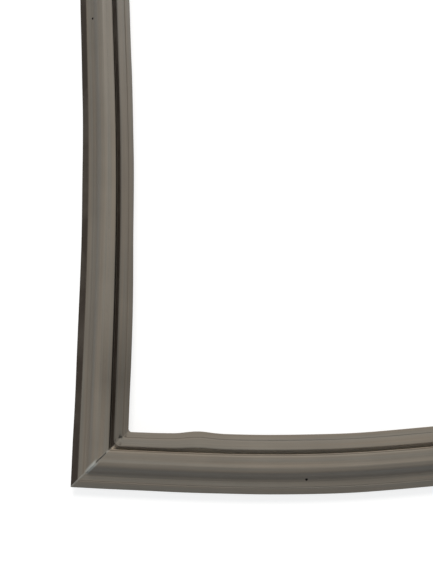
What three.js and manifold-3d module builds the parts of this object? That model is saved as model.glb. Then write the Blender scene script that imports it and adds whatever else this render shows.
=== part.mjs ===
// Refrigerator door gasket, lying on its dart with the magnetic face up.
// One soft PVC profile, cut into four lengths and mitre-welded into a frame, holds a
// flexible magnetic strip in the pocket of each leg. Millimetres, +Z up, legs along X and Y.
import * as THREE from "three";
import { mergeVertices } from "three/addons/utils/BufferGeometryUtils.js";
import Module from "manifold-3d";

// Frame, measured over the outer lips at the corners
const FRAME_WIDTH = 480;
const FRAME_LENGTH = 620;

// Magnetic strips, and the room left round them in the pocket
const MAGNET_WIDTH = 6.9;
const MAGNET_THICKNESS = 2.4;
const MAGNET_SETBACK = 31;
const MAGNET_FIT = 0.3;

// Widths across the profile, from the outer lip inwards
const LIP_WIDTH = 4.7;
const BAND_WIDTH = 3.7;
const COVE_WIDTH = 7.7;
const GROOVE_WIDTH = 2.6;
const FLAP_WIDTH = 9;
const FLAP_EDGE_WIDTH = 3.4;

// Heights of the profile, from the tip of the dart upwards
const DART_DEPTH = 7.9;
const BASE_WALL = 1.1;
const CHAMBER_HEIGHT = 4.1;
const BAND_HEIGHT = 1.9;
const BAND_FALL = 0.75;
const LIP_DROP = 2.85;
const FLAP_DROP = 1.6;
const FLAP_FALL = 1.6;
const BEAD_RISE = 0.25;

// Wall thicknesses
const FACE_SKIN = 0.9;
const SKIN = 0.8;
const SHEET = 1;
const EDGE_WALL = 0.6;

// Dart with barbed fins that snap into the channel of the door liner
const DART_STEM = 1.4;
const DART_ROOT = 0.5;
const DART_REACH = 2.6;
const DART_FINS = 2;
const FIN_EDGE = 0.35;

// Bellows fold of the inner wall, hinge lines of the lip and flap, and edge rounding
const FOLD_DEPTH = 1.5;
const HINGE_NOTCH = 0.3;
const BEAD_WIDTH = 3;
const WALL_ROUND = 1.2;
const FLAP_ROUND = 0.9;
const EDGE_ROUND = 0.25;

// Radius in which the groove side of the flap turns each corner of the frame
const FLAP_TURN = 3.6;

// Pinholes that let the chamber breathe, as distances from the near corner
const VENT_DIAMETER = 1.6;
const VENT_INSET = 1;
const LEFT_VENT_AT = 310;
const BOTTOM_VENT_AT = 142;

// Slit left open on the weld of the near corner, across the magnetic face
const SLIT_LENGTH = 8;
const SLIT_WIDTH = 0.5;

// Lie of the flap by the near corner: the weld pulls it outwards, and the bottom leg's has a
// crest beyond that, as distances from the corner
const PULL_BOTTOM = 1;
const PULL_LEFT = 0.9;
const PULL_START = 50;
const PULL_END = 90;
const PULL_FADE = 40;
const CREST = 1.3;
const CREST_AT = 77;
const CREST_HALF = 15;

// How the soft legs wander from a straight line, inwards positive: one to four half waves
const SWAY = {
  bottom: [-4.25, -3.74, -0.65, 0.67],
  right: [2.5, -1],
  top: [-2, 1],
  left: [1.69, -2.14, 0.83, 0.62],
};
const RINGS = { bottom: 10, right: 6, top: 6, left: 10 };
const CREST_RINGS = 4;

// Places across the profile (u) and up it (z)
const pocketWidth = MAGNET_WIDTH + 2 * MAGNET_FIT;
const pocketDepth = MAGNET_THICKNESS + 2 * MAGNET_FIT;
const uCrease = LIP_WIDTH;
const uBand = uCrease + BAND_WIDTH;
const uPocket = uBand + COVE_WIDTH;
const uPocketEnd = uPocket + pocketWidth;
const uWall = uPocketEnd + SKIN;
const uFlap = uWall + GROOVE_WIDTH;
const uStem = uFlap + SHEET / 2;
const uStemEnd = uStem + SHEET;
const uFlapHinge = uFlap + FLAP_WIDTH - FLAP_EDGE_WIDTH;
const uEdge = uFlap + FLAP_WIDTH;
const uBaseEnd = uStemEnd + SHEET / 2;
const uDart = (uBand + uBaseEnd) / 2;

const zBase = DART_DEPTH;
const zFloor = zBase + BASE_WALL;
const zCeiling = zFloor + CHAMBER_HEIGHT;
const zPocket = zCeiling + SKIN;
const zPocketTop = zPocket + pocketDepth;
const zFace = zPocketTop + FACE_SKIN;
const zBand = zFloor + BAND_HEIGHT;
const zCrease = zBand - BAND_FALL;
const zLip = zCrease - LIP_DROP;
const zFlap = zFace - FLAP_DROP;
const zEdge = zFlap - FLAP_FALL;
const zFlapHinge = zFlap - (FLAP_FALL * (uFlapHinge - uFlap)) / FLAP_WIDTH;

const point = (u, z) => new THREE.Vector2(u, z);

// Replaces a corner by an arc that touches both of its sides
function roundCorner(before, corner, after, radius, steps = 2) {
  const back = before.clone().sub(corner);
  const ahead = after.clone().sub(corner);
  const halfAngle = Math.acos(back.dot(ahead) / (back.length() * ahead.length())) / 2;
  const room = Math.min(back.length(), ahead.length()) / 2;
  const run = Math.min(radius / Math.tan(halfAngle), room);
  const start = corner.clone().addScaledVector(back.normalize(), run);
  const end = corner.clone().addScaledVector(ahead.normalize(), run);
  return new THREE.QuadraticBezierCurve(start, corner, end).getPoints(steps);
}

// Turns corners [u, z, radius] into a closed outline
function outline(corners) {
  const points = corners.map(([u, z]) => point(u, z));
  return corners.flatMap(([, , radius], i) => {
    if (!radius) return [points[i]];
    const before = points[(i + points.length - 1) % points.length];
    const after = points[(i + 1) % points.length];
    return roundCorner(before, points[i], after, radius);
  });
}

// The cove between the outer band and the magnetic face
const cove = new THREE.CubicBezierCurve(
  point(uBand, zBand),
  point(uBand + 0.4 * COVE_WIDTH, zBand + 0.05 * (zFace - zBand)),
  point(uBand + 0.45 * COVE_WIDTH, zFace - 0.2 * (zFace - zBand)),
  point(uPocket, zFace),
);

// A point of the cove's inner skin, one wall in from its surface
function coveLining(t) {
  const surface = cove.getPoint(t);
  const along = cove.getTangent(t);
  return [surface.x + SKIN * along.y, surface.y - SKIN * along.x];
}

// Corners of one side of the dart, from the base down to the tip
function dartSide(side) {
  const pitch = DART_DEPTH / (DART_FINS + 1);
  const corners = [
    [uDart + side * (DART_STEM / 2 + DART_ROOT), zBase],
    [uDart + (side * DART_STEM) / 2, zBase - DART_ROOT],
  ];
  for (let fin = DART_FINS; fin >= 1; fin -= 1) {
    const finTop = (fin + 0.2) * pitch;
    corners.push([uDart + (side * DART_STEM) / 2, fin * pitch]);
    corners.push([uDart + side * (DART_REACH - FIN_EDGE), finTop]);
    corners.push([uDart + side * DART_REACH, finTop - FIN_EDGE]);
    if (fin > 1) corners.push([uDart + (side * DART_STEM) / 2, (fin - 0.75) * pitch]);
  }
  return corners;
}

const skinOutline = outline([
  // underside of the lip and band
  [EDGE_WALL / 2, zLip - EDGE_WALL, EDGE_ROUND],
  [uCrease + SHEET / 3, zCrease - SHEET],
  [uBand - SHEET / 3, zBand - SHEET],
  [uBand + SHEET / 3, zBase],
  // dart
  ...dartSide(-1),
  [uDart - FIN_EDGE, 0],
  [uDart + FIN_EDGE, 0],
  ...dartSide(1).reverse(),
  // inner end of the base, and the flap from its stem to its edge
  [uBaseEnd, zBase, EDGE_ROUND],
  [uBaseEnd, zFloor, EDGE_ROUND],
  [uStemEnd, zFloor],
  [uStemEnd, zFlap - SHEET, FLAP_ROUND],
  [uFlapHinge, zFlapHinge - SHEET + EDGE_WALL / 2],
  [uEdge - EDGE_WALL / 3, zEdge - EDGE_WALL, EDGE_ROUND],
  [uEdge, zEdge, EDGE_ROUND],
  [uFlapHinge + HINGE_NOTCH, zFlapHinge],
  [uFlapHinge, zFlapHinge - HINGE_NOTCH / 2],
  [uFlapHinge - HINGE_NOTCH, zFlapHinge],
  [uFlap, zFlap, FLAP_ROUND],
  // groove, and the bellows wall up to the magnetic face
  [uStem, zFloor, EDGE_ROUND],
  [uWall, zFloor, EDGE_ROUND],
  [uWall - FOLD_DEPTH, (zFloor + zCeiling) / 2, EDGE_ROUND],
  [uWall, zCeiling, EDGE_ROUND],
  [uWall, zFace, WALL_ROUND],
  // bead at the outer edge of the face
  [uPocket + BEAD_WIDTH, zFace],
  [uPocket + BEAD_WIDTH / 2, zFace + 2 * BEAD_RISE, BEAD_WIDTH],
  // cove, band and the hinge line of the lip
  ...cove.getPoints(9).reverse().map(({ x, y }) => [x, y]),
  [uCrease + HINGE_NOTCH, zCrease],
  [uCrease, zCrease - HINGE_NOTCH],
  [uCrease - HINGE_NOTCH, zCrease - HINGE_NOTCH / 2],
  [0, zLip, EDGE_ROUND],
]);

const chamberOutline = outline([
  [uBand + SHEET + SKIN, zFloor],
  [uWall - SKIN, zFloor],
  [uWall - SKIN - FOLD_DEPTH, (zFloor + zCeiling) / 2, EDGE_ROUND],
  [uWall - SKIN, zCeiling],
  [uPocket - SKIN, zCeiling],
  [uPocket - SKIN, coveLining(0.75)[1]],
  ...[0.75, 0.6, 0.45, 0.3, 0.2].map(coveLining),
]);

const pocketOutline = outline([
  [uPocket, zPocket],
  [uPocketEnd, zPocket],
  [uPocketEnd, zPocketTop],
  [uPocket, zPocketTop],
]);

const magnetOutline = outline([
  [uPocket + MAGNET_FIT, zPocket + MAGNET_FIT],
  [uPocketEnd - MAGNET_FIT, zPocket + MAGNET_FIT],
  [uPocketEnd - MAGNET_FIT, zPocketTop - MAGNET_FIT],
  [uPocket + MAGNET_FIT, zPocketTop - MAGNET_FIT],
]);

// Places along a leg, as shares of the way from mitre to mitre, that have a ring of points
function stationsOf(name, length) {
  const turn = FLAP_TURN / (length - 2 * uFlap);
  const even = Array.from({ length: RINGS[name] - 1 }, (_, i) => (i + 1) / RINGS[name]);
  if (name !== "bottom") return [0, turn, ...even, 1 - turn, 1];
  const low = shareAt(CREST_AT - CREST_HALF, uEdge, length);
  const high = shareAt(CREST_AT + CREST_HALF, uEdge, length);
  const crest = Array.from({ length: CREST_RINGS + 1 }, (_, i) => {
    return THREE.MathUtils.lerp(low, high, i / CREST_RINGS);
  });
  const rest = even.filter((t) => t < low - turn || t > high + turn);
  return [0, turn, ...rest, ...crest, 1 - turn, 1].sort((a, b) => a - b);
}

// Share of the way from mitre to mitre, for a distance along a line of the profile
function shareAt(distance, u, length) {
  return (distance - u) / (length - 2 * u);
}

// The four legs in turn round the frame: where each starts, its direction and its inward side
function makeLeg(name, x, y, along, inward, length) {
  return {
    name,
    length,
    stations: stationsOf(name, length),
    start: new THREE.Vector3(x, y, 0),
    along: new THREE.Vector3(...along, 0),
    inward: new THREE.Vector3(...inward, 0),
  };
}

const legs = [
  makeLeg("bottom", 0, 0, [1, 0], [0, 1], FRAME_WIDTH),
  makeLeg("right", FRAME_WIDTH, 0, [0, 1], [-1, 0], FRAME_LENGTH),
  makeLeg("top", FRAME_WIDTH, FRAME_LENGTH, [-1, 0], [0, -1], FRAME_WIDTH),
  makeLeg("left", 0, FRAME_LENGTH, [0, -1], [1, 0], FRAME_LENGTH),
];
const [bottomLeg, , , leftLeg] = legs;

// How far a leg has swayed inwards, at a distance along it
function swayAt(leg, distance) {
  return SWAY[leg.name].reduce((sum, size, i) => {
    return sum + size * Math.sin(((i + 1) * Math.PI * distance) / leg.length);
  }, 0);
}

// Places a point of the profile; t runs from mitre to mitre, where both legs give the same place
function place(leg, t, u, z) {
  const before = legs[(legs.indexOf(leg) + 3) % 4];
  const after = legs[(legs.indexOf(leg) + 1) % 4];
  const slide = THREE.MathUtils.lerp(swayAt(before, before.length - u), -swayAt(after, u), t);
  const distance = THREE.MathUtils.lerp(u, leg.length - u, t);
  return leg.start
    .clone()
    .addScaledVector(leg.along, distance + slide)
    .addScaledVector(leg.inward, u + swayAt(leg, distance))
    .setZ(z);
}

// Places a point between two rings, where the profile runs straight
function placeBetween(leg, t, u, z) {
  const next = leg.stations.findIndex((station) => station > t);
  const [low, high] = [leg.stations[next - 1], leg.stations[next]];
  const share = THREE.MathUtils.inverseLerp(low, high, t);
  return place(leg, low, u, z).lerp(place(leg, high, u, z), share);
}

// How far the near weld draws the flap of a leg outwards and along
function flapPull(leg, t) {
  const fromCorner = uEdge + (leg === leftLeg ? 1 - t : t) * (leg.length - 2 * uEdge);
  const fade = 1 - THREE.MathUtils.smoothstep(fromCorner - uEdge, 0, PULL_FADE);
  if (leg === leftLeg) return { out: PULL_LEFT * fade, slide: PULL_BOTTOM * fade };
  if (leg !== bottomLeg) return { out: 0, slide: 0 };
  const offset = Math.min(1, Math.abs(fromCorner - CREST_AT) / CREST_HALF);
  const crest = (CREST * (1 + Math.cos(Math.PI * offset))) / 2;
  const pull = PULL_BOTTOM * (1 - THREE.MathUtils.smoothstep(fromCorner, PULL_START, PULL_END));
  return { out: pull - crest, slide: -PULL_LEFT * fade };
}

// Places a point of the frame's skin, with the flap as it turns the corners and as it lies
function placeSoft(leg, t, { x: u, y: z }) {
  const at = place(leg, t, u, z);
  if (u <= uWall || z <= zFloor + EDGE_ROUND) return at;
  const height = Math.min(1, (z - zFloor) / (zFlap - zFloor));
  const weight = height * THREE.MathUtils.mapLinear(u, uFlap, uEdge, 0.5, 1);
  const turn = t === 0 || t === 1 ? FLAP_TURN * (1 - Math.SQRT1_2) * height : 0;
  const { out, slide } = flapPull(leg, t);
  return at
    .addScaledVector(leg.along, slide * weight + (t === 1 ? -turn : turn))
    .addScaledVector(leg.inward, turn - out * weight);
}

// Joins rings of equal length into a closed skin; the last ring meets the first, or both are capped
function skinOver(rings, isLoop) {
  const count = rings[0].length;
  const indices = [];
  const strips = isLoop ? rings.length : rings.length - 1;
  for (let ring = 0; ring < strips; ring += 1) {
    const here = ring * count;
    const next = ((ring + 1) % rings.length) * count;
    for (let i = 0; i < count; i += 1) {
      const j = (i + 1) % count;
      indices.push(here + i, here + j, next + i, here + j, next + j, next + i);
    }
  }
  if (!isLoop) {
    const last = (rings.length - 1) * count;
    for (let i = 1; i < count - 1; i += 1) {
      indices.push(0, i + 1, i, last, last + i, last + i + 1);
    }
  }
  const geometry = new THREE.BufferGeometry().setFromPoints(rings.flat());
  geometry.setIndex(indices);
  return geometry;
}

// Runs an outline round the whole frame
function frameTube(section) {
  const rings = legs.flatMap((leg) =>
    leg.stations.slice(0, -1).map((t) => section.map((corner) => placeSoft(leg, t, corner))),
  );
  return skinOver(rings, true);
}

// A magnetic strip, cut square at both ends and laid along the pocket of its leg
function magnetStrip(leg) {
  const end = shareAt(MAGNET_SETBACK, uPocket, leg.length);
  const inner = leg.stations.filter((t) => t > end && t < 1 - end);
  const low = (u) => shareAt(MAGNET_SETBACK, u, leg.length);
  const rings = [low, ...inner.map((t) => () => t), (u) => 1 - low(u)];
  return skinOver(
    rings.map((share) => magnetOutline.map(({ x: u, y: z }) => placeBetween(leg, share(u), u, z))),
    false,
  );
}

const wasm = await Module();
wasm.setup();

function toSolid(geometry) {
  geometry.deleteAttribute("normal");
  geometry.deleteAttribute("uv");
  const merged = mergeVertices(geometry, 1e-4);
  const mesh = new wasm.Mesh({
    numProp: 3,
    vertProperties: new Float32Array(merged.attributes.position.array),
    triVerts: new Uint32Array(merged.index.array),
  });
  return new wasm.Manifold(mesh);
}

function toGeometry(solid) {
  const { vertProperties, triVerts } = solid.getMesh();
  const geometry = new THREE.BufferGeometry();
  geometry.setAttribute("position", new THREE.BufferAttribute(vertProperties, 3));
  geometry.setIndex(new THREE.BufferAttribute(triVerts, 1));
  return geometry;
}

// A pinhole through the foot of the cove, down and inwards into the chamber
function ventHole(leg, distance) {
  const mouth = cove.getPoint(VENT_INSET / COVE_WIDTH);
  const aim = point(uBand + SHEET + SKIN + VENT_DIAMETER / 4, zFloor + VENT_DIAMETER / 4);
  const run = aim.clone().sub(mouth);
  const outside = mouth.clone().addScaledVector(run.clone().normalize(), -2 * SHEET);
  const start = placeBetween(leg, shareAt(distance, outside.x, leg.length), outside.x, outside.y);
  const end = placeBetween(leg, shareAt(distance, aim.x, leg.length), aim.x, aim.y);
  start.addScaledVector(leg.along, end.clone().sub(start).dot(leg.along));
  const hole = new THREE.CylinderGeometry(
    VENT_DIAMETER / 2,
    VENT_DIAMETER / 2,
    start.distanceTo(end),
    8,
  );
  const turn = new THREE.Quaternion().setFromUnitVectors(
    new THREE.Vector3(0, 1, 0),
    end.clone().sub(start).normalize(),
  );
  hole.applyQuaternion(turn);
  hole.translate(...start.add(end).multiplyScalar(0.5).toArray());
  return toSolid(hole);
}

// The open stretch of the weld, cut through the face skin into the pocket along the mitre
function weldSlit() {
  const middle = (uPocket + uWall) / 2;
  const depth = FACE_SKIN + BEAD_RISE + pocketDepth / 4;
  const slit = new THREE.BoxGeometry(SLIT_LENGTH, SLIT_WIDTH, depth);
  slit.rotateZ(Math.PI / 4);
  slit.translate(...place(bottomLeg, 0, middle, zFace + BEAD_RISE - depth / 2 + SHEET / 4));
  return toSolid(slit);
}

const cuts = [
  toSolid(frameTube(chamberOutline)),
  toSolid(frameTube(pocketOutline)),
  ventHole(bottomLeg, BOTTOM_VENT_AT),
  ventHole(leftLeg, FRAME_LENGTH - LEFT_VENT_AT),
  weldSlit(),
];
const gasketSolid = cuts.reduce((solid, cut) => solid.subtract(cut), toSolid(frameTube(skinOutline)));

const pvc = new THREE.MeshStandardMaterial({ color: "#787268", roughness: 0.55, metalness: 0 });
const ferrite = new THREE.MeshStandardMaterial({ color: "#3a322c", roughness: 0.8, metalness: 0 });

function named(name, geometry, material) {
  const flat = geometry.index ? geometry.toNonIndexed() : geometry;
  flat.computeVertexNormals();
  const mesh = new THREE.Mesh(flat, material);
  mesh.name = name;
  return mesh;
}

const frameGeometry = toGeometry(gasketSolid);
frameGeometry.computeBoundingBox();
const middle = frameGeometry.boundingBox.getCenter(new THREE.Vector3());

const group = new THREE.Group();
group.position.set(-middle.x, -middle.y, 0);
group.add(named("gasket_frame", frameGeometry, pvc));
for (const leg of legs) {
  group.add(named(`magnet_strip_${leg.name}`, magnetStrip(leg), ferrite));
}

const gasket = new THREE.Group();
gasket.add(group);

export default gasket;
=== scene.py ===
# Refrigerator door gasket: a soft PVC frame with magnetic strips, lying on its dart.
import math
import bmesh
import bpy
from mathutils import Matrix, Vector, noise


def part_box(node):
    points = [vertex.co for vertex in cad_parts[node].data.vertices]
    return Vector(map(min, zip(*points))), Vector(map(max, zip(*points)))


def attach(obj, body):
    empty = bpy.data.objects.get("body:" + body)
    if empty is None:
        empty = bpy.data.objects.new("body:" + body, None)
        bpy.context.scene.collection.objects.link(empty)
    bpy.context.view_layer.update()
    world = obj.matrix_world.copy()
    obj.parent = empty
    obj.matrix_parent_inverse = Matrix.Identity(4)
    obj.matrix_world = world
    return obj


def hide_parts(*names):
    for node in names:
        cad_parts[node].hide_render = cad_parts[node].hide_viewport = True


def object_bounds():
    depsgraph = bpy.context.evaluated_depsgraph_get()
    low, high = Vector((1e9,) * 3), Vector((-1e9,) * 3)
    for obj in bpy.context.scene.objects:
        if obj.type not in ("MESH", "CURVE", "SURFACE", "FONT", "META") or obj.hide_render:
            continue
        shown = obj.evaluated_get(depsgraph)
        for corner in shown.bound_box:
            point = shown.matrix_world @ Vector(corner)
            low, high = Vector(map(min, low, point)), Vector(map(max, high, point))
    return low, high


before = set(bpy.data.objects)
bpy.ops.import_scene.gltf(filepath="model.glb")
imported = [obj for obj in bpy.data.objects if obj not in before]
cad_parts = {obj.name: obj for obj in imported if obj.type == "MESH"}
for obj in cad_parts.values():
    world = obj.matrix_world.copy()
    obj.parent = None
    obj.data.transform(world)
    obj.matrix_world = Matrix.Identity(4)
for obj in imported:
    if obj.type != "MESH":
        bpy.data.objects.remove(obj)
cad_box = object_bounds()
scene = bpy.context.scene

# The magnetic strips: flexible bonded ferrite, extruded flat and cut square. One is slid into
# the pocket of each leg before the corners are welded, and ends short of each weld.
MM = 0.001
FRAME_WIDTH = 480 * MM
FRAME_LENGTH = 620 * MM
STRIP_SETBACK = 31 * MM
STRIP_WIDTH = 6.9 * MM
STRIP_DEPTH_IN = 19.85 * MM
LEFT_REACH = 0.70 * MM
BOTTOM_REACH = 7.52 * MM
STRIP_GRAIN = 0.2 * MM
STRIP_EDGE = 0.25 * MM
STRIP_CUTS = 60
STRIP_COLOUR = (0.028, 0.023, 0.020, 1)
STRIP_DUST = (0.075, 0.066, 0.058, 1)
LEG_NAMES = ("bottom", "right", "top", "left")
SWAYS = {
    "bottom": (-4.25, -3.74, -0.65, 0.67),
    "right": (2.5, -1),
    "top": (-2, 1),
    "left": (1.69, -2.14, 0.83, 0.62),
}

# Two legs sway out of the straight frame, which starts that far inside the part's box
frame_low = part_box("gasket_frame")[0]
corner = Vector((frame_low.x + LEFT_REACH, frame_low.y + BOTTOM_REACH, 0))
far_corner = corner + Vector((FRAME_WIDTH, FRAME_LENGTH, 0))


def leg_length(leg):
    return FRAME_WIDTH if leg % 2 == 0 else FRAME_LENGTH


def sway_at(leg, distance):
    """How far a soft leg has wandered inwards, at a distance along it."""
    waves = SWAYS[LEG_NAMES[leg % 4]]
    share = distance / leg_length(leg)
    return MM * sum(size * math.sin((i + 1) * math.pi * share) for i, size in enumerate(waves))


def start_work(name):
    """Names the object that was just added and leaves it ready in edit mode."""
    piece = bpy.context.object
    piece.name = name
    piece.data.name = name
    bpy.ops.object.mode_set(mode="EDIT")
    return piece


def leg_place(co):
    """Leg, depth inwards, distance along it and share of the way from mitre to mitre."""
    depths = (co.y - corner.y, far_corner.x - co.x, far_corner.y - co.y, co.x - corner.x)
    leg = depths.index(min(depths))
    depth = depths[leg]
    along = (co.x - corner.x, co.y - corner.y, far_corner.x - co.x, far_corner.y - co.y)[leg]
    return leg, depth, along, (along - depth) / (leg_length(leg) - 2 * depth)


def inward_of(leg):
    return (Vector((0, 1, 0)), Vector((-1, 0, 0)), Vector((0, -1, 0)), Vector((1, 0, 0)))[leg]


def ahead_of(leg):
    return (Vector((1, 0, 0)), Vector((0, 1, 0)), Vector((-1, 0, 0)), Vector((0, -1, 0)))[leg]


def lie_of(leg, depth, along, share):
    """Shift of a point as its leg sways; both legs of a corner give the same at their mitre."""
    before = sway_at(leg - 1, leg_length(leg - 1) - depth)
    after = sway_at(leg + 1, depth)
    slide = before * (1 - share) - after * share
    return ahead_of(leg) * slide + inward_of(leg) * sway_at(leg, along)


def shader_tree(name, roughness):
    """A new material with its Principled shader, for the nodes that follow."""
    material = bpy.data.materials.new(name)
    material.use_nodes = True
    shader = material.node_tree.nodes["Principled BSDF"]
    shader.inputs["Roughness"].default_value = roughness
    return material, material.node_tree, shader


def add_node(tree, kind, links=None, **settings):
    """Adds a node; settings are its own options, and links join or fill its inputs."""
    made = tree.nodes.new(kind)
    for option, value in settings.items():
        setattr(made, option, value)
    for socket, value in (links or {}).items():
        if isinstance(value, bpy.types.NodeSocket):
            tree.links.new(value, made.inputs[socket])
        else:
            made.inputs[socket].default_value = value
    return made


def mix_colour(tree, amount, first, second, blend="MIX"):
    mixed = add_node(tree, "ShaderNodeMix", data_type="RGBA", blend_type=blend)
    for socket, value in ((0, amount), (6, first), (7, second)):
        if isinstance(value, bpy.types.NodeSocket):
            tree.links.new(value, mixed.inputs[socket])
        else:
            mixed.inputs[socket].default_value = value
    return mixed.outputs[2]


def spread(tree, value, low, high, to_low=0.0, to_high=1.0):
    """Stretches the part of a value between low and high over a new range."""
    links = {"Value": value, "From Min": low, "From Max": high, "To Min": to_low, "To Max": to_high}
    return add_node(tree, "ShaderNodeMapRange", links).outputs["Result"]


def ferrite_material():
    material, tree, shader = shader_tree("bonded_ferrite", 0.82)
    place = add_node(tree, "ShaderNodeTexCoord").outputs["Object"]
    grain = add_node(tree, "ShaderNodeTexNoise", {"Vector": place, "Scale": 900, "Detail": 3})
    colour = mix_colour(tree, spread(tree, grain.outputs["Fac"], 0.4, 0.75), STRIP_COLOUR, STRIP_DUST)
    tree.links.new(colour, shader.inputs["Base Color"])
    bump = add_node(
        tree, "ShaderNodeBump", {"Height": grain.outputs["Fac"], "Strength": 0.3, "Distance": STRIP_GRAIN}
    )
    tree.links.new(bump.outputs["Normal"], shader.inputs["Normal"])
    return material


ferrite = ferrite_material()
for leg, leg_name in enumerate(LEG_NAMES):
    node = "magnet_strip_" + leg_name
    low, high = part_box(node)
    outer_side = (corner, far_corner, far_corner, corner)[leg]
    frame_middle = (corner + far_corner) / 2
    from_middle = (outer_side - frame_middle).dot(inward_of(leg)) + STRIP_DEPTH_IN
    centre = frame_middle + inward_of(leg) * from_middle
    centre.z = (low.z + high.z) / 2
    size = Vector((STRIP_WIDTH, STRIP_WIDTH, high.z - low.z))
    size[leg % 2] = leg_length(leg) - 2 * STRIP_SETBACK
    bpy.ops.object.select_all(action="DESELECT")
    bpy.ops.mesh.primitive_cube_add(size=1, location=centre)
    strip = start_work(node + "_body")
    bpy.ops.transform.resize(value=size)
    bpy.ops.mesh.select_all(action="DESELECT")
    shape = bmesh.from_edit_mesh(strip.data)
    for edge in shape.edges:
        edge.select_set(edge.calc_length() > 2 * STRIP_WIDTH)
    bmesh.update_edit_mesh(strip.data)
    bpy.ops.mesh.subdivide(number_cuts=STRIP_CUTS)
    bpy.ops.object.mode_set(mode="OBJECT")
    bpy.ops.object.transform_apply(location=True, rotation=True, scale=True)
    for vertex in strip.data.vertices:
        vertex.co += lie_of(*leg_place(vertex.co))
    edges = strip.modifiers.new("edges", "BEVEL")
    edges.width = STRIP_EDGE
    edges.segments = 2
    edges.limit_method = "ANGLE"
    bpy.ops.object.modifier_apply(modifier="edges")
    strip.data.materials.append(ferrite)
    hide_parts(node)
    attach(strip, "root")

# The PVC frame: one soft profile, extruded, cut in four at 45 degrees and hot-plate welded at
# the mitres. Lip, band, cove, bead, magnetic face, groove and flap run round on top, the base
# and the barbed dart below, and the bellows chamber and the strip's pocket inside.
LIP_WIDTH = 4.7
BAND_WIDTH = 3.7
COVE_WIDTH = 7.7
POCKET_WIDTH = 7.5
GROOVE_WIDTH = 2.6
FLAP_WIDTH = 9
FLAP_EDGE_WIDTH = 3.4
DART_DEPTH = 7.9
BASE_WALL = 1.1
CHAMBER_HEIGHT = 4.1
POCKET_DEPTH = 3
BAND_HEIGHT = 1.9
BAND_FALL = 0.75
LIP_DROP = 2.85
FLAP_DROP = 1.6
FLAP_FALL = 1.6
BEAD_RISE = 0.25
FACE_SKIN = 0.9
SKIN = 0.8
SHEET = 1
EDGE_WALL = 0.6
DART_STEM = 1.4
DART_ROOT = 0.5
DART_REACH = 2.6
DART_FINS = 2
FIN_EDGE = 0.35
FOLD_DEPTH = 1.5
HINGE_NOTCH = 0.3
BEAD_WIDTH = 3
WALL_ROUND = 1.2
FLAP_ROUND = 0.9
EDGE_ROUND = 0.25

u_crease = LIP_WIDTH
u_band = u_crease + BAND_WIDTH
u_pocket = u_band + COVE_WIDTH
u_pocket_end = u_pocket + POCKET_WIDTH
u_wall = u_pocket_end + SKIN
u_flap = u_wall + GROOVE_WIDTH
u_stem = u_flap + SHEET / 2
u_stem_end = u_stem + SHEET
u_flap_hinge = u_flap + FLAP_WIDTH - FLAP_EDGE_WIDTH
u_edge = u_flap + FLAP_WIDTH
u_base_end = u_stem_end + SHEET / 2
u_dart = (u_band + u_base_end) / 2
z_base = DART_DEPTH
z_floor = z_base + BASE_WALL
z_ceiling = z_floor + CHAMBER_HEIGHT
z_pocket = z_ceiling + SKIN
z_pocket_top = z_pocket + POCKET_DEPTH
z_face = z_pocket_top + FACE_SKIN
z_band = z_floor + BAND_HEIGHT
z_crease = z_band - BAND_FALL
z_lip = z_crease - LIP_DROP
z_flap = z_face - FLAP_DROP
z_edge = z_flap - FLAP_FALL
z_flap_hinge = z_flap - FLAP_FALL * (u_flap_hinge - u_flap) / FLAP_WIDTH


def round_corner(before, at, after, radius, steps=4):
    """Replaces a corner by a curve that touches both of its sides."""
    back, ahead = before - at, after - at
    half_angle = back.angle(ahead) / 2
    run = min(radius / math.tan(half_angle), back.length / 2, ahead.length / 2)
    start, end = at + back.normalized() * run, at + ahead.normalized() * run
    shares = [k / steps for k in range(steps + 1)]
    return [start.lerp(at, t).lerp(at.lerp(end, t), t) for t in shares]


def outline(corners):
    """Turns corners (u, z) or (u, z, radius), in millimetres, into a closed outline."""
    places = [Vector((entry[0], entry[1])) for entry in corners]
    points = []
    for i, entry in enumerate(corners):
        if len(entry) == 2:
            points.append(places[i])
        else:
            points += round_corner(places[i - 1], places[i], places[(i + 1) % len(places)], entry[2])
    return points


def cove_point(t):
    """Place and direction on the cove, from the band's inner end up to the face."""
    rise = z_face - z_band
    a = Vector((u_band, z_band))
    b = Vector((u_band + 0.4 * COVE_WIDTH, z_band + 0.05 * rise))
    c = Vector((u_band + 0.45 * COVE_WIDTH, z_face - 0.2 * rise))
    d = Vector((u_pocket, z_face))
    ab, bc, cd = a.lerp(b, t), b.lerp(c, t), c.lerp(d, t)
    return ab.lerp(bc, t).lerp(bc.lerp(cd, t), t), (bc.lerp(cd, t) - ab.lerp(bc, t)).normalized()


def cove_lining(t):
    at, along = cove_point(t)
    return (at.x + SKIN * along.y, at.y - SKIN * along.x)


def flap_top(share):
    """A point of the flap's upper side, from its root to its edge."""
    return (u_flap + share * FLAP_WIDTH, z_flap - share * FLAP_FALL)


def dart_side(side):
    """Corners of one side of the barbed dart, from the base down."""
    pitch = DART_DEPTH / (DART_FINS + 1)
    corners = [
        (u_dart + side * (DART_STEM / 2 + DART_ROOT), z_base, EDGE_ROUND),
        (u_dart + side * DART_STEM / 2, z_base - DART_ROOT, EDGE_ROUND),
    ]
    for fin in range(DART_FINS, 0, -1):
        fin_top = (fin + 0.2) * pitch
        corners.append((u_dart + side * DART_STEM / 2, fin * pitch))
        corners.append((u_dart + side * (DART_REACH - FIN_EDGE), fin_top, EDGE_ROUND))
        corners.append((u_dart + side * DART_REACH, fin_top - FIN_EDGE, EDGE_ROUND))
        if fin > 1:
            corners.append((u_dart + side * DART_STEM / 2, (fin - 0.75) * pitch))
    return corners


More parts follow.
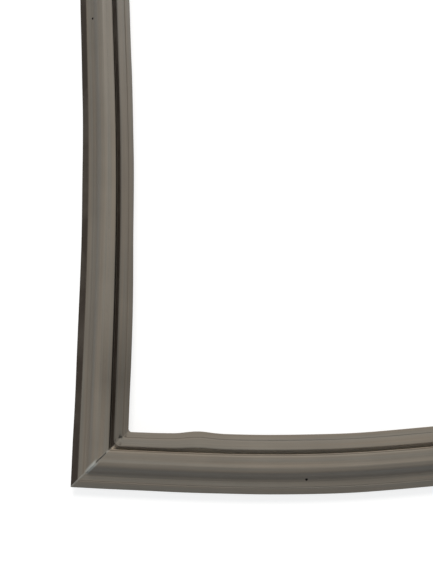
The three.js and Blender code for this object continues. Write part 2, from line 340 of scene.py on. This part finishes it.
skin_outline = outline([
    (EDGE_WALL / 2, z_lip - EDGE_WALL, EDGE_ROUND),
    (u_crease + SHEET / 3, z_crease - SHEET, SHEET),
    (u_band - SHEET / 3, z_band - SHEET, EDGE_ROUND),
    (u_band + SHEET / 3, z_base, EDGE_ROUND),
    *dart_side(-1),
    (u_dart - FIN_EDGE, 0),
    (u_dart + FIN_EDGE, 0),
    *reversed(dart_side(1)),
    (u_base_end, z_base, EDGE_ROUND),
    (u_base_end, z_floor, EDGE_ROUND),
    (u_stem_end, z_floor, EDGE_ROUND),
    (u_stem_end, z_flap - SHEET, FLAP_ROUND),
    (u_flap_hinge, z_flap_hinge - SHEET + EDGE_WALL / 2, SHEET),
    (u_edge - EDGE_WALL / 3, z_edge - EDGE_WALL, EDGE_ROUND),
    (u_edge, z_edge, EDGE_ROUND),
    *[flap_top(1 - k / 5 * FLAP_EDGE_WIDTH / FLAP_WIDTH) for k in range(1, 4)],
    (u_flap_hinge + HINGE_NOTCH, z_flap_hinge, EDGE_ROUND),
    (u_flap_hinge, z_flap_hinge - HINGE_NOTCH / 2),
    (u_flap_hinge - HINGE_NOTCH, z_flap_hinge, EDGE_ROUND),
    *[flap_top(0.55 - 0.09 * k) for k in range(5)],
    (u_flap, z_flap, FLAP_ROUND),
    (u_stem, z_floor, EDGE_ROUND),
    (u_wall, z_floor, EDGE_ROUND),
    (u_wall - FOLD_DEPTH, (z_floor + z_ceiling) / 2, 2 * EDGE_ROUND),
    (u_wall, z_ceiling, EDGE_ROUND),
    (u_wall, z_face, WALL_ROUND),
    ((u_pocket + u_wall) / 2, z_face),
    (u_pocket + BEAD_WIDTH, z_face),
    (u_pocket + BEAD_WIDTH / 2, z_face + 2 * BEAD_RISE, BEAD_WIDTH),
    *[tuple(cove_point(1 - k / 14)[0]) for k in range(1, 15)],
    (u_crease + BAND_WIDTH / 2, (z_crease + z_band) / 2),
    (u_crease + HINGE_NOTCH, z_crease, EDGE_ROUND),
    (u_crease, z_crease - HINGE_NOTCH),
    (u_crease - HINGE_NOTCH, z_crease - HINGE_NOTCH / 2, EDGE_ROUND),
    (u_crease / 2, (z_crease + z_lip) / 2),
    (0, z_lip, EDGE_ROUND),
])
chamber_outline = outline([
    (u_band + SHEET + SKIN, z_floor),
    (u_wall - SKIN, z_floor),
    (u_wall - SKIN - FOLD_DEPTH, (z_floor + z_ceiling) / 2, 2 * EDGE_ROUND),
    (u_wall - SKIN, z_ceiling),
    (u_pocket - SKIN, z_ceiling),
    (u_pocket - SKIN, cove_lining(0.75)[1]),
    *[cove_lining(t) for t in (0.75, 0.6, 0.45, 0.3, 0.2)],
])
pocket_outline = outline([
    (u_pocket, z_pocket),
    (u_pocket_end, z_pocket),
    (u_pocket_end, z_pocket_top),
    (u_pocket, z_pocket_top),
])


def select_along(mesh, low, high, longest):
    """Selects the edges that run along the legs between two distances from the nearer mitre."""
    shape = bmesh.from_edit_mesh(mesh)
    for edge in shape.edges:
        first, second = edge.verts[0].co, edge.verts[1].co
        leg, _, _, share = leg_place((first + second) / 2)
        step = abs((first - second).dot(ahead_of(leg)))
        runs = step > 0.9 * (first - second).length and abs(first.z - second.z) < 0.01 * MM
        near = min(share, 1 - share) * leg_length(leg)
        edge.select_set(runs and step < longest and low < near < high)
    bmesh.update_edit_mesh(mesh)


def drag_round(name, points, inside=False):
    """Draws the profile's first point as a rectangle and drags it round the outline, loop by loop."""
    width, length = FRAME_WIDTH, FRAME_LENGTH
    inset = 2 * points[0].x * MM
    centre = (corner + far_corner) / 2 + Vector((0, 0, points[0].y * MM))
    bpy.ops.object.select_all(action="DESELECT")
    bpy.ops.mesh.primitive_plane_add(size=1, location=centre)
    tube = start_work(name)
    bpy.ops.transform.resize(value=(width - inset, length - inset, 1), center_override=centre)
    bpy.ops.mesh.delete(type="ONLY_FACE")
    bpy.ops.mesh.select_all(action="SELECT")
    for here, there in zip(points, points[1:] + points[:1]):
        wide = (width - 2 * there.x * MM) / (width - 2 * here.x * MM)
        long = (length - 2 * there.x * MM) / (length - 2 * here.x * MM)
        rise = (there.y - here.y) * MM
        bpy.ops.mesh.extrude_region_move(TRANSFORM_OT_translate={"value": (0, 0, rise)})
        bpy.ops.transform.resize(value=(wide, long, 1), center_override=centre)
    bpy.ops.mesh.select_all(action="SELECT")
    bpy.ops.mesh.remove_doubles(threshold=0.005 * MM)
    bpy.ops.mesh.normals_make_consistent(inside=inside)
    bpy.ops.object.mode_set(mode="OBJECT")
    bpy.ops.object.transform_apply(location=True, rotation=True, scale=True)
    bpy.ops.object.mode_set(mode="EDIT")
    for low, high, longest, cuts in LEG_CUTS:
        bpy.ops.mesh.select_all(action="DESELECT")
        select_along(tube.data, low * MM, high * MM, longest * MM)
        bpy.ops.mesh.subdivide(number_cuts=cuts)
    bpy.ops.object.mode_set(mode="OBJECT")
    return tube


# Distances from a mitre, longest edge to cut, and cuts: all along first, then finer to the weld
LEG_CUTS = ((0, 1000, 1000, 71), (0, 55, 20, 3), (0, 3, 3, 3))
skin = drag_round("gasket_profile", skin_outline)
chamber = drag_round("chamber_wall", chamber_outline, inside=True)
pocket = drag_round("pocket_wall", pocket_outline, inside=True)
for lining in (chamber, pocket):
    lining.select_set(True)
skin.select_set(True)
bpy.context.view_layer.objects.active = skin
bpy.ops.object.join()

# Cuts in the skin: two pinholes that let the chamber breathe, pricked through the foot of the
# cove, and the slit that the weld of the near corner left open across the magnetic face.
VENT_RADIUS = 0.8
VENT_INSET = 1
LEFT_VENT_AT = 310
BOTTOM_VENT_AT = 142
SLIT_LENGTH = 8
SLIT_WIDTH = 0.5
VENT_SIDES = 24


def add_vent(leg, distance):
    """A pin for one hole, aimed down and inwards from the foot of the cove."""
    mouth = cove_point(VENT_INSET / COVE_WIDTH)[0]
    aim = Vector((u_band + SHEET + SKIN + VENT_RADIUS / 2, z_floor + VENT_RADIUS / 2))
    run = aim - mouth
    middle = mouth + run * 0.3
    start = corner + Vector((distance * MM, 0, 0)) if leg == 0 else corner + Vector((0, distance * MM, 0))
    place = start + inward_of(leg) * middle.x * MM + Vector((0, 0, middle.y * MM))
    direction = inward_of(leg) * run.x + Vector((0, 0, run.y))
    turn = direction.to_track_quat("Z", "Y").to_euler()
    bpy.ops.mesh.primitive_cylinder_add(
        vertices=VENT_SIDES,
        radius=VENT_RADIUS * MM,
        depth=(run.length + 2) * MM,
        location=place,
        rotation=turn,
    )
    return bpy.context.object


bpy.ops.object.select_all(action="DESELECT")
pins = [add_vent(0, BOTTOM_VENT_AT), add_vent(3, LEFT_VENT_AT)]
bores = [(pin.location.copy(), pin.rotation_euler.to_matrix().col[2].copy()) for pin in pins]
slit_middle = (u_pocket + u_wall) / 2 * MM
slit_depth = FACE_SKIN + BEAD_RISE + POCKET_DEPTH / 4
slit_height = (z_face + BEAD_RISE - slit_depth / 2 + SHEET / 4) * MM
slit_place = corner + Vector((slit_middle, slit_middle, slit_height))
slit_line, slit_side = Vector((1, 1, 0)).normalized(), Vector((1, -1, 0)).normalized()
bpy.ops.mesh.primitive_cube_add(
    size=MM,
    location=slit_place,
    rotation=(0, 0, math.pi / 4),
    scale=(SLIT_LENGTH, SLIT_WIDTH, slit_depth),
)
pins.append(bpy.context.object)
for pin in pins:
    cut = skin.modifiers.new("cut", "BOOLEAN")
    cut.operation = "DIFFERENCE"
    cut.solver = "EXACT"
    cut.object = pin
    bpy.context.view_layer.objects.active = skin
    bpy.ops.object.modifier_apply(modifier="cut")
for pin in pins:
    bpy.data.objects.remove(pin)


def in_bore(co):
    """Whether a point lies on the wall of a pinhole or of the slit."""
    across, ahead = (co - slit_place).dot(slit_side), (co - slit_place).dot(slit_line)
    if abs(across) < 0.51 * SLIT_WIDTH * MM and abs(ahead) < 0.51 * SLIT_LENGTH * MM:
        return True
    return any((co - middle).cross(axis).length < 1.02 * VENT_RADIUS * MM for middle, axis in bores)


spots = [in_bore(vertex.co) for vertex in skin.data.vertices]
bored = [float(all(spots[i] for i in face.vertices)) for face in skin.data.polygons]
skin.data.attributes.new("bored", "FLOAT", "FACE").data.foreach_set("value", bored)

# The lie of the soft profile: each leg wanders a little, the near weld pulls the flap outwards,
# thin edges wave, the flap turns the corner in a curve, and each weld has its flash.
PULL_BOTTOM = 1
PULL_LEFT = 0.9
LEAN_LEFT = 0.5
PULL_START = 50
PULL_END = 90
PULL_FADE = 40
CREST = 1.3
CREST_AT = 77
CREST_HALF = 15
FLAP_TURN = 3.6
EDGE_TURN = 1.9
FLASH_RISE = 0.28
FLASH_HALF_WIDTH = 0.9
EDGE_WAVE = 0.45
PUCKERS = ((28.4, -1.4, 0.9), (31.4, -0.6, 0.9), (29.4, 1.6, 0.5), (33.6, 0.4, 0.4))
PUCKER_RADIUS = 1
PUCKER_ZONE = 70


def smooth(low, high, value):
    share = min(1, max(0, (value - low) / (high - low)))
    return share * share * (3 - 2 * share)


def swell(value, at, half):
    """A rounded hump of height one."""
    return 0.5 + 0.5 * math.cos(math.pi * min(1, abs(value - at) / half))


def near_weld_pull(leg, distance, gap):
    """How far the flap of a leg is drawn outwards, and along the leg, near the near corner."""
    fade = 1 - smooth(0, PULL_FADE, gap)
    if leg == 0:
        out = PULL_BOTTOM * (1 - smooth(PULL_START, PULL_END, distance))
        return out - CREST * swell(distance, CREST_AT, CREST_HALF), -PULL_LEFT * fade
    return PULL_LEFT * fade + LEAN_LEFT * smooth(0, PULL_FADE, gap), PULL_BOTTOM * fade


def corner_turn(depth, gap):
    """Shift along and inwards that rounds the corner of a line of the flap."""
    radius = FLAP_TURN + (EDGE_TURN - FLAP_TURN) * smooth(u_flap, u_edge, depth)
    weight = smooth(u_wall + GROOVE_WIDTH / 2, u_flap, depth)
    if gap >= radius or weight == 0:
        return 0, 0
    angle = math.radians(225 + 45 * gap / radius)
    return (
        weight * (radius + radius * math.cos(angle) - gap),
        weight * (radius + radius * math.sin(angle)),
    )


marks = {name: [] for name in ("across", "along", "leg", "weld", "height", "pucker")}
for vertex in skin.data.vertices:
    leg, depth, along, share = leg_place(vertex.co)
    depth_mm, z_mm = depth / MM, vertex.co.z / MM
    length = leg_length(leg)
    gap = min(along - depth, length - along - depth) / MM
    shift_along, shift_in = corner_turn(depth_mm, gap)
    if along > length / 2:
        shift_along = -shift_along
    drop = 0
    if leg in (0, 3) and depth_mm > u_wall:
        height = smooth(z_floor, z_flap, z_mm) * (0.5 + 0.5 * smooth(u_flap, u_edge, depth_mm))
        out, slide = near_weld_pull(leg, along / MM, gap if leg == 0 else (length - along - depth) / MM)
        shift_in -= out * height
        shift_along += slide * height
    waving = noise.noise(vertex.co * 22 + Vector((leg, 0, 0))) * smooth(0, 40, gap)
    thin = smooth(u_crease, 0, depth_mm) + smooth(u_stem_end, u_edge, depth_mm)
    shift_in += EDGE_WAVE * waving * thin * (1 if depth_mm > u_stem_end else -1)
    drop += EDGE_WAVE * waving * thin
    outside = z_mm > z_base + SHEET and depth_mm < u_wall - SKIN
    flash = max(0, 1 - gap / FLASH_HALF_WIDTH) if outside else 0
    lift = FLASH_RISE * flash * smooth(0, 1, noise.noise(vertex.co * 400) + 0.6)
    pucker = 0
    near_corner = leg in (0, 3) and (vertex.co - corner).length < PUCKER_ZONE * MM
    if near_corner and depth_mm > u_stem and z_mm > z_edge - SHEET:
        for at, offside, depth_of in PUCKERS:
            spot = corner + Vector(((at + offside) * MM, (at - offside) * MM, 0))
            away = (vertex.co.xy - spot.xy).length / MM
            pucker = max(pucker, depth_of * math.exp(-((away / PUCKER_RADIUS) ** 2)))
        lift -= pucker
    for name, value in zip(marks, (depth_mm, along / MM, leg, gap, z_mm, pucker)):
        marks[name].append(value)
    vertex.co += lie_of(leg, depth, along, share)
    vertex.co += ahead_of(leg) * shift_along * MM + inward_of(leg) * shift_in * MM
    vertex.co.z += (lift - drop) * MM
for name, values in marks.items():
    skin.data.attributes.new(name, "FLOAT", "POINT").data.foreach_set("value", values)
bpy.ops.object.select_all(action="DESELECT")
skin.select_set(True)
bpy.context.view_layer.objects.active = skin
bpy.ops.object.shade_smooth_by_angle(angle=math.radians(38))

# Warm grey PVC, satin, and rougher where the dark brown is painted. Extrusion lines and faint streaks run
# along each leg.
# Shade is painted into the crease lines, the left groove, the groove walls, the puckers and the holes, and
# onto the left flap, the left leg's outer side and the bottom cove. The bottom groove's depths are painted
# paler as light. The left lip is painted dark brown, a patch of the left leg is darker, and the weld flash
# is paler.
PVC_GREY = (0.220, 0.194, 0.158, 1)
PVC_WARM = (0.238, 0.196, 0.154, 1)
PVC_COOL = (0.200, 0.190, 0.168, 1)
# Dark brown painted into the crease lines and the left groove as shade, and onto the left leg's outer lip.
PAINTED_SHADE_BROWN = (0.036, 0.026, 0.019, 1)
# A patch of the left leg's inner side, near the near corner, is painted darker.
DARK_PATCH_AT = 555
DARK_PATCH_HALF = 45
DARK_PATCH_FACTOR = 0.72
# Painted shade: the left flap is darkened by this factor.
LEFT_FLAP_PAINTED_SHADE = 0.76
# Painted shade: the outer side of the left leg is darkened by this factor.
LEFT_OUTER_PAINTED_SHADE = 0.86
# Painted shade: the bottom leg's cove, which faces away from the main lamp, is darkened by this factor.
BOTTOM_COVE_PAINTED_SHADE = 0.78
# Painted shade: the groove wall under the face's edge is darkened by this factor.
GROOVE_WALL_PAINTED_SHADE = 0.7
# Painted light: the depths of the bottom leg's groove are made paler by this factor, standing in for light.
GROOVE_PAINTED_LIGHT = 3.4
FLASH_SHOWS = 0.22
FLASH_SHOWS_ON_COVE = 0.75
LEG_SHIFT = 17.3
EXTRUSION_RELIEF = 0.12 * MM
# Near black painted into the holes and the puckers as shade.
HOLE_SHADE_DARK = (0.012, 0.010, 0.008, 1)
FLASH_GREY = (0.46, 0.47, 0.44, 1)


def pvc_material():
    material, tree, shader = shader_tree("grey_pvc", 0.46)
    values = {
        name: add_node(tree, "ShaderNodeAttribute", attribute_name=name).outputs["Fac"] for name in marks
    }
    place = add_node(tree, "ShaderNodeTexCoord").outputs["Object"]

    def times(first, second):
        return add_node(tree, "ShaderNodeMath", {0: first, 1: second}, operation="MULTIPLY").outputs[0]

    def most(first, second):
        return add_node(tree, "ShaderNodeMath", {0: first, 1: second}, operation="MAXIMUM").outputs[0]

    def near(value, centre, width):
        off = add_node(tree, "ShaderNodeMath", {0: value, 1: centre}, operation="SUBTRACT").outputs[0]
        off = add_node(tree, "ShaderNodeMath", {0: off}, operation="ABSOLUTE").outputs[0]
        return spread(tree, off, width, 0)

    def between(low, low_end, high_end, high):
        """One across the profile between two places, fading to nothing outside them."""
        rising = spread(tree, values["across"], low, low_end)
        return times(rising, spread(tree, values["across"], high, high_end))

    def shaded(base, where, shade):
        """The colour multiplied by a shade, where the second value is one."""
        return mix_colour(tree, 1.0, base, spread(tree, where, 0, 1, 1, shade), "MULTIPLY")

    def streaks(per_mm, stretch, detail):
        across = times(values["across"], per_mm)
        along = times(values["along"], per_mm / stretch)
        leg = times(values["leg"], LEG_SHIFT)
        where = add_node(tree, "ShaderNodeCombineXYZ", {"X": across, "Y": along, "Z": leg}).outputs[0]
        return add_node(
            tree, "ShaderNodeTexNoise", {"Vector": where, "Scale": 1, "Detail": detail}
        ).outputs["Fac"]

    broad, fine = streaks(0.35, 60, 2), streaks(1.6, 120, 3)
    cloud = add_node(tree, "ShaderNodeTexNoise", {"Vector": place, "Scale": 38, "Detail": 4}).outputs["Fac"]
    colour = mix_colour(tree, spread(tree, broad, 0.35, 0.65), PVC_COOL, PVC_WARM)
    colour = mix_colour(tree, 0.5, colour, PVC_GREY)
    for pattern, darkest, palest in ((fine, 0.92, 1.06), (cloud, 0.94, 1.05)):
        shade = spread(tree, pattern, 0.3, 0.7, darkest, palest)
        colour = mix_colour(tree, 1.0, colour, shade, "MULTIPLY")

    is_left = spread(tree, values["leg"], 2.4, 2.6)
    is_bottom = spread(tree, values["leg"], 0.6, 0.4)
    flap = spread(tree, values["across"], u_flap - 0.4, u_flap)
    outer = spread(tree, values["across"], u_pocket, u_pocket - 3)
    cove = between(u_band + 0.5, u_band + 2, u_pocket - 2, u_pocket)
    wall = between(u_wall - 0.6, u_wall - 0.2, u_flap, u_stem_end)
    # Painted shade: the groove wall under the face's edge.
    below = times(wall, spread(tree, values["height"], z_face - 0.4, z_face - 1.2))
    # Painted light: the depths of the bottom leg's groove, made paler.
    painted_groove_light = times(times(wall, spread(tree, values["height"], z_flap, z_flap - 1.5)), is_bottom)
    inner_side = spread(tree, values["across"], u_pocket, u_pocket + 3)
    # Darker patch along the left leg's inner side.
    dark_patch = times(near(values["along"], DARK_PATCH_AT, DARK_PATCH_HALF), inner_side)
    # Painted shade: the left flap is darkened.
    colour = shaded(colour, times(flap, is_left), LEFT_FLAP_PAINTED_SHADE)
    # Painted shade: the outer side of the left leg is darkened.
    colour = shaded(colour, times(outer, is_left), LEFT_OUTER_PAINTED_SHADE)
    # Painted shade: the bottom leg's cove is darkened.
    colour = shaded(colour, times(cove, is_bottom), BOTTOM_COVE_PAINTED_SHADE)
    colour = shaded(colour, below, GROOVE_WALL_PAINTED_SHADE)
    colour = shaded(colour, painted_groove_light, GROOVE_PAINTED_LIGHT)
    colour = shaded(colour, times(dark_patch, is_left), DARK_PATCH_FACTOR)
    # Painted shade: the crease lines and the left leg's groove walls are darkened towards the dark brown,
    # and the left leg's outer lip is painted nearly as dark.
    on_lip = spread(tree, values["across"], u_crease + 0.5, u_crease - 0.3)
    lip = times(on_lip, spread(tree, is_left, 0, 1, 0.03, 0.96))
    creases = most(near(values["across"], u_crease, 0.7), near(values["across"], u_flap_hinge, 0.5))
    creases = times(most(creases, near(values["across"], u_band, 0.6)), 0.2)
    in_groove = times(times(wall, spread(tree, values["height"], z_face - 0.6, z_ceiling)), is_left)
    painted_shade_and_dark_lip = most(most(lip, creases), in_groove)
    painted_shade_and_dark_lip = times(painted_shade_and_dark_lip, spread(tree, cloud, 0.25, 0.55, 0.7, 1.0))
    colour = mix_colour(tree, painted_shade_and_dark_lip, colour, PAINTED_SHADE_BROWN)
    not_flap = spread(tree, values["across"], u_flap, u_wall, 0, FLASH_SHOWS)
    thin_line = times(spread(tree, values["weld"], 1.0, 0.4), not_flap)
    on_cove = between(u_band, u_band + 3, u_pocket, u_pocket + 2)
    wide_line = times(times(spread(tree, values["weld"], 2.3, 1.1), on_cove), FLASH_SHOWS_ON_COVE)
    colour = mix_colour(tree, most(thin_line, wide_line), colour, FLASH_GREY)
    # Painted shade: the walls of the pinholes and the slit, and the puckers by their depth, are painted
    # near black.
    bored = add_node(tree, "ShaderNodeAttribute", attribute_name="bored").outputs["Fac"]
    hole_and_pucker_shade = most(spread(tree, values["pucker"], 0.1, 0.7), bored)
    colour = mix_colour(tree, hole_and_pucker_shade, colour, HOLE_SHADE_DARK)
    tree.links.new(colour, shader.inputs["Base Color"])
    rough = spread(tree, painted_shade_and_dark_lip, 0, 1, 0.5, 0.75)
    tree.links.new(rough, shader.inputs["Roughness"])
    shader.inputs["Specular IOR Level"].default_value = 0.25
    pores = add_node(tree, "ShaderNodeTexNoise", {"Vector": place, "Scale": 1400, "Detail": 2})
    pores = pores.outputs["Fac"]
    height = add_node(tree, "ShaderNodeMath", {0: fine, 1: times(pores, 0.35)}, operation="ADD").outputs[0]
    bump = add_node(
        tree, "ShaderNodeBump", {"Height": height, "Strength": 0.35, "Distance": EXTRUSION_RELIEF}
    )
    tree.links.new(bump.outputs["Normal"], shader.inputs["Normal"])
    return material


skin.data.materials.clear()
skin.data.materials.append(pvc_material())
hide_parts("gasket_frame")
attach(skin, "root")

# The camera, held above the near corner and tipped a little towards the frame's middle.
CAMERA_FROM_CORNER = (90.1, 72.2)
CAMERA_HEIGHT = 316.7
CAMERA_TILT = 8.66
CAMERA_ROLL = 1.42
FOCAL_PIXELS = 487.5
PHOTO_LONG_SIDE = 577

bpy.ops.object.camera_add(
    location=corner + Vector((CAMERA_FROM_CORNER[0], CAMERA_FROM_CORNER[1], CAMERA_HEIGHT)) * MM,
    rotation=(math.radians(CAMERA_TILT), 0, -math.radians(CAMERA_ROLL)),
)
camera = bpy.context.object
camera.data.sensor_width = 36
camera.data.lens = FOCAL_PIXELS * camera.data.sensor_width / PHOTO_LONG_SIDE
camera.data.clip_start = 0.01
scene.camera = camera

# The pale table, lit from above and from the far side, with a little cool light from the left.
TABLE_SIZE = 6
TABLE_COLOUR = (0.42, 0.42, 0.42, 1)
TABLE_GLOW = 0.74
WHITE = (1, 1, 1, 1)
SKY = (0.93, 0.97, 1.0, 1)
SKY_STRENGTH = 0.38
SUNS = (
    ("main_light", (-46, 0, -8), 2.05, (1.0, 0.96, 0.90), 20),
    ("side_light", (10, -62, 0), 0.14, (0.80, 0.90, 1.0), 40),
)

bpy.ops.mesh.primitive_plane_add(size=TABLE_SIZE, location=(corner + far_corner) / 2)
table = bpy.context.object
table.name = "table"
material, tree, shader = shader_tree("white_table", 0.9)
shader.inputs["Base Color"].default_value = TABLE_COLOUR
rays = add_node(tree, "ShaderNodeLightPath")
camera_or_glossy = {0: rays.outputs["Is Camera Ray"], 1: rays.outputs["Is Glossy Ray"]}
seen = add_node(tree, "ShaderNodeMath", camera_or_glossy, operation="MAXIMUM")
glow = add_node(tree, "ShaderNodeEmission", {"Color": WHITE, "Strength": TABLE_GLOW})
bright = add_node(tree, "ShaderNodeAddShader", {0: shader.outputs[0], 1: glow.outputs[0]})
surface = add_node(
    tree, "ShaderNodeMixShader", {0: seen.outputs[0], 1: shader.outputs[0], 2: bright.outputs[0]}
)
tree.links.new(surface.outputs[0], tree.nodes["Material Output"].inputs["Surface"])
table.data.materials.append(material)

world = bpy.data.worlds.new("room")
scene.world = world
world.use_nodes = True
tree = world.node_tree
sky = tree.nodes["Background"]
sky.inputs["Color"].default_value = SKY
sky.inputs["Strength"].default_value = SKY_STRENGTH
white = add_node(tree, "ShaderNodeBackground", {"Color": WHITE, "Strength": 1.0})
rays = add_node(tree, "ShaderNodeLightPath")
backdrop = add_node(
    tree, "ShaderNodeMixShader", {0: rays.outputs["Is Camera Ray"], 1: sky.outputs[0], 2: white.outputs[0]}
)
tree.links.new(backdrop.outputs[0], tree.nodes["World Output"].inputs["Surface"])
for name, turn, strength, colour, spread_angle in SUNS:
    rotation = [math.radians(angle) for angle in turn]
    bpy.ops.object.light_add(type="SUN", location=(0, 0, 1), rotation=rotation)
    lamp = bpy.context.object
    lamp.name = name
    lamp.data.energy = strength
    lamp.data.color = colour
    lamp.data.angle = math.radians(spread_angle)
scene.view_settings.view_transform = "Standard"

low, high = cad_box
